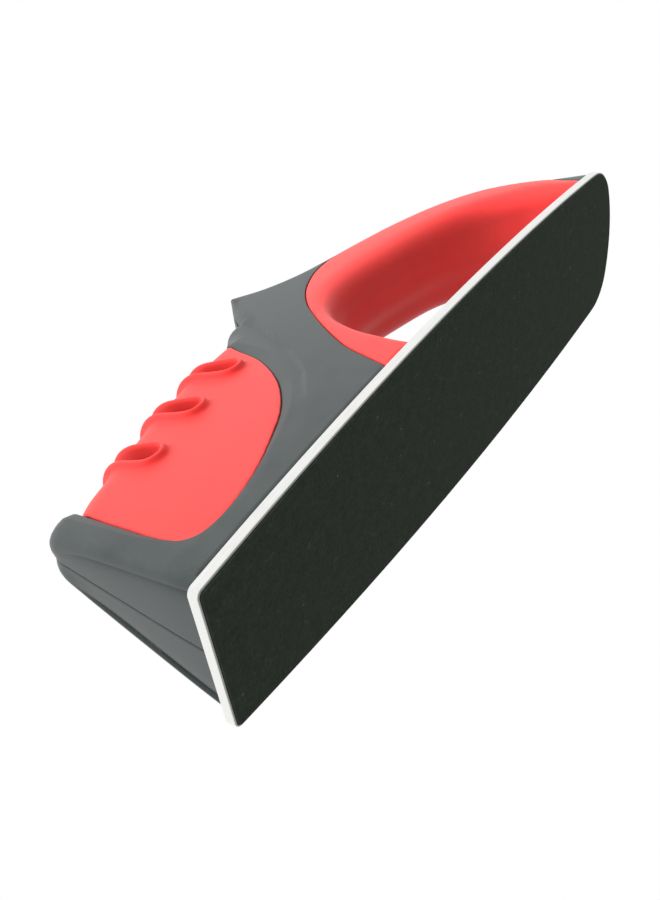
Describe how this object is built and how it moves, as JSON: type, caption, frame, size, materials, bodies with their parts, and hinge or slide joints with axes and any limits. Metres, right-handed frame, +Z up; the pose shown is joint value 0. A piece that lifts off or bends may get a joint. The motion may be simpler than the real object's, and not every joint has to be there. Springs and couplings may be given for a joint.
{
  "type": "knife and scissors sharpener",
  "caption": "Hand-held knife and scissors sharpener: rimmed knife slots in a red saddle, a ridge-backed scissors notch, a loop handle and a padded steel base.",
  "frame": {"origin": "on the resting face, under the middle of the base", "axes": "+X from the head to the handle along the base, +Y to the right seen from the handle, +Z up"},
  "size_m": [0.201, 0.0492, 0.0846],
  "materials": {
    "shell_grey": "satin moulded ABS, fine spark texture",
    "soft_red": "soft-touch red elastomer, matt",
    "tray_steel": "brushed stainless sheet",
    "pad_foam": "fine-cell dark EVA foam, matt",
    "carrier_black": "moulded nylon, matt",
    "carbide": "ground tungsten carbide",
    "clamp_steel": "zinc-plated steel",
    "diamond_grit": "diamond grit on a nickel bond",
    "ceramic": "fired alumina ceramic, matt white",
    "hub_steel": "turned stainless steel"
  },
  "bodies": {
    "housing": {"left_shell": "shell_grey", "right_shell": "shell_grey", "slot_cover": "soft_red", "handle_grip": "soft_red", "base_plate": "tray_steel", "base_pad": "pad_foam", "chassis": "carrier_black", "carbide_holder": "carrier_black", "carbide_clamp": "clamp_steel", "carbide_blades": "carbide", "carbide_screws": "clamp_steel", "diamond_axle": "hub_steel", "ceramic_axle": "hub_steel", "wheel_washers": "hub_steel", "scissors_holder": "carrier_black", "scissors_rod": "ceramic", "shell_screws": "clamp_steel", "chassis_screws": "clamp_steel", "base_screws": "clamp_steel"},
    "diamond_wheels": {"diamond_wheel_front": "diamond_grit", "diamond_wheel_rear": "diamond_grit", "diamond_hub": "hub_steel"},
    "ceramic_wheels": {"ceramic_wheel_front": "ceramic", "ceramic_wheel_rear": "ceramic", "ceramic_hub": "hub_steel"}
  },
  "joints": [
    {"name": "diamond_wheel_spin", "type": "hinge", "parent": "housing", "child": "diamond_wheels", "pos_m": [-0.04728, 0, 0.03861], "axis": [0.9848, 0, 0.1736], "continuous": true},
    {"name": "ceramic_wheel_spin", "type": "hinge", "parent": "housing", "child": "ceramic_wheels", "pos_m": [-0.02936, 0, 0.04177], "axis": [0.9848, 0, 0.1736], "continuous": true}
  ]
}
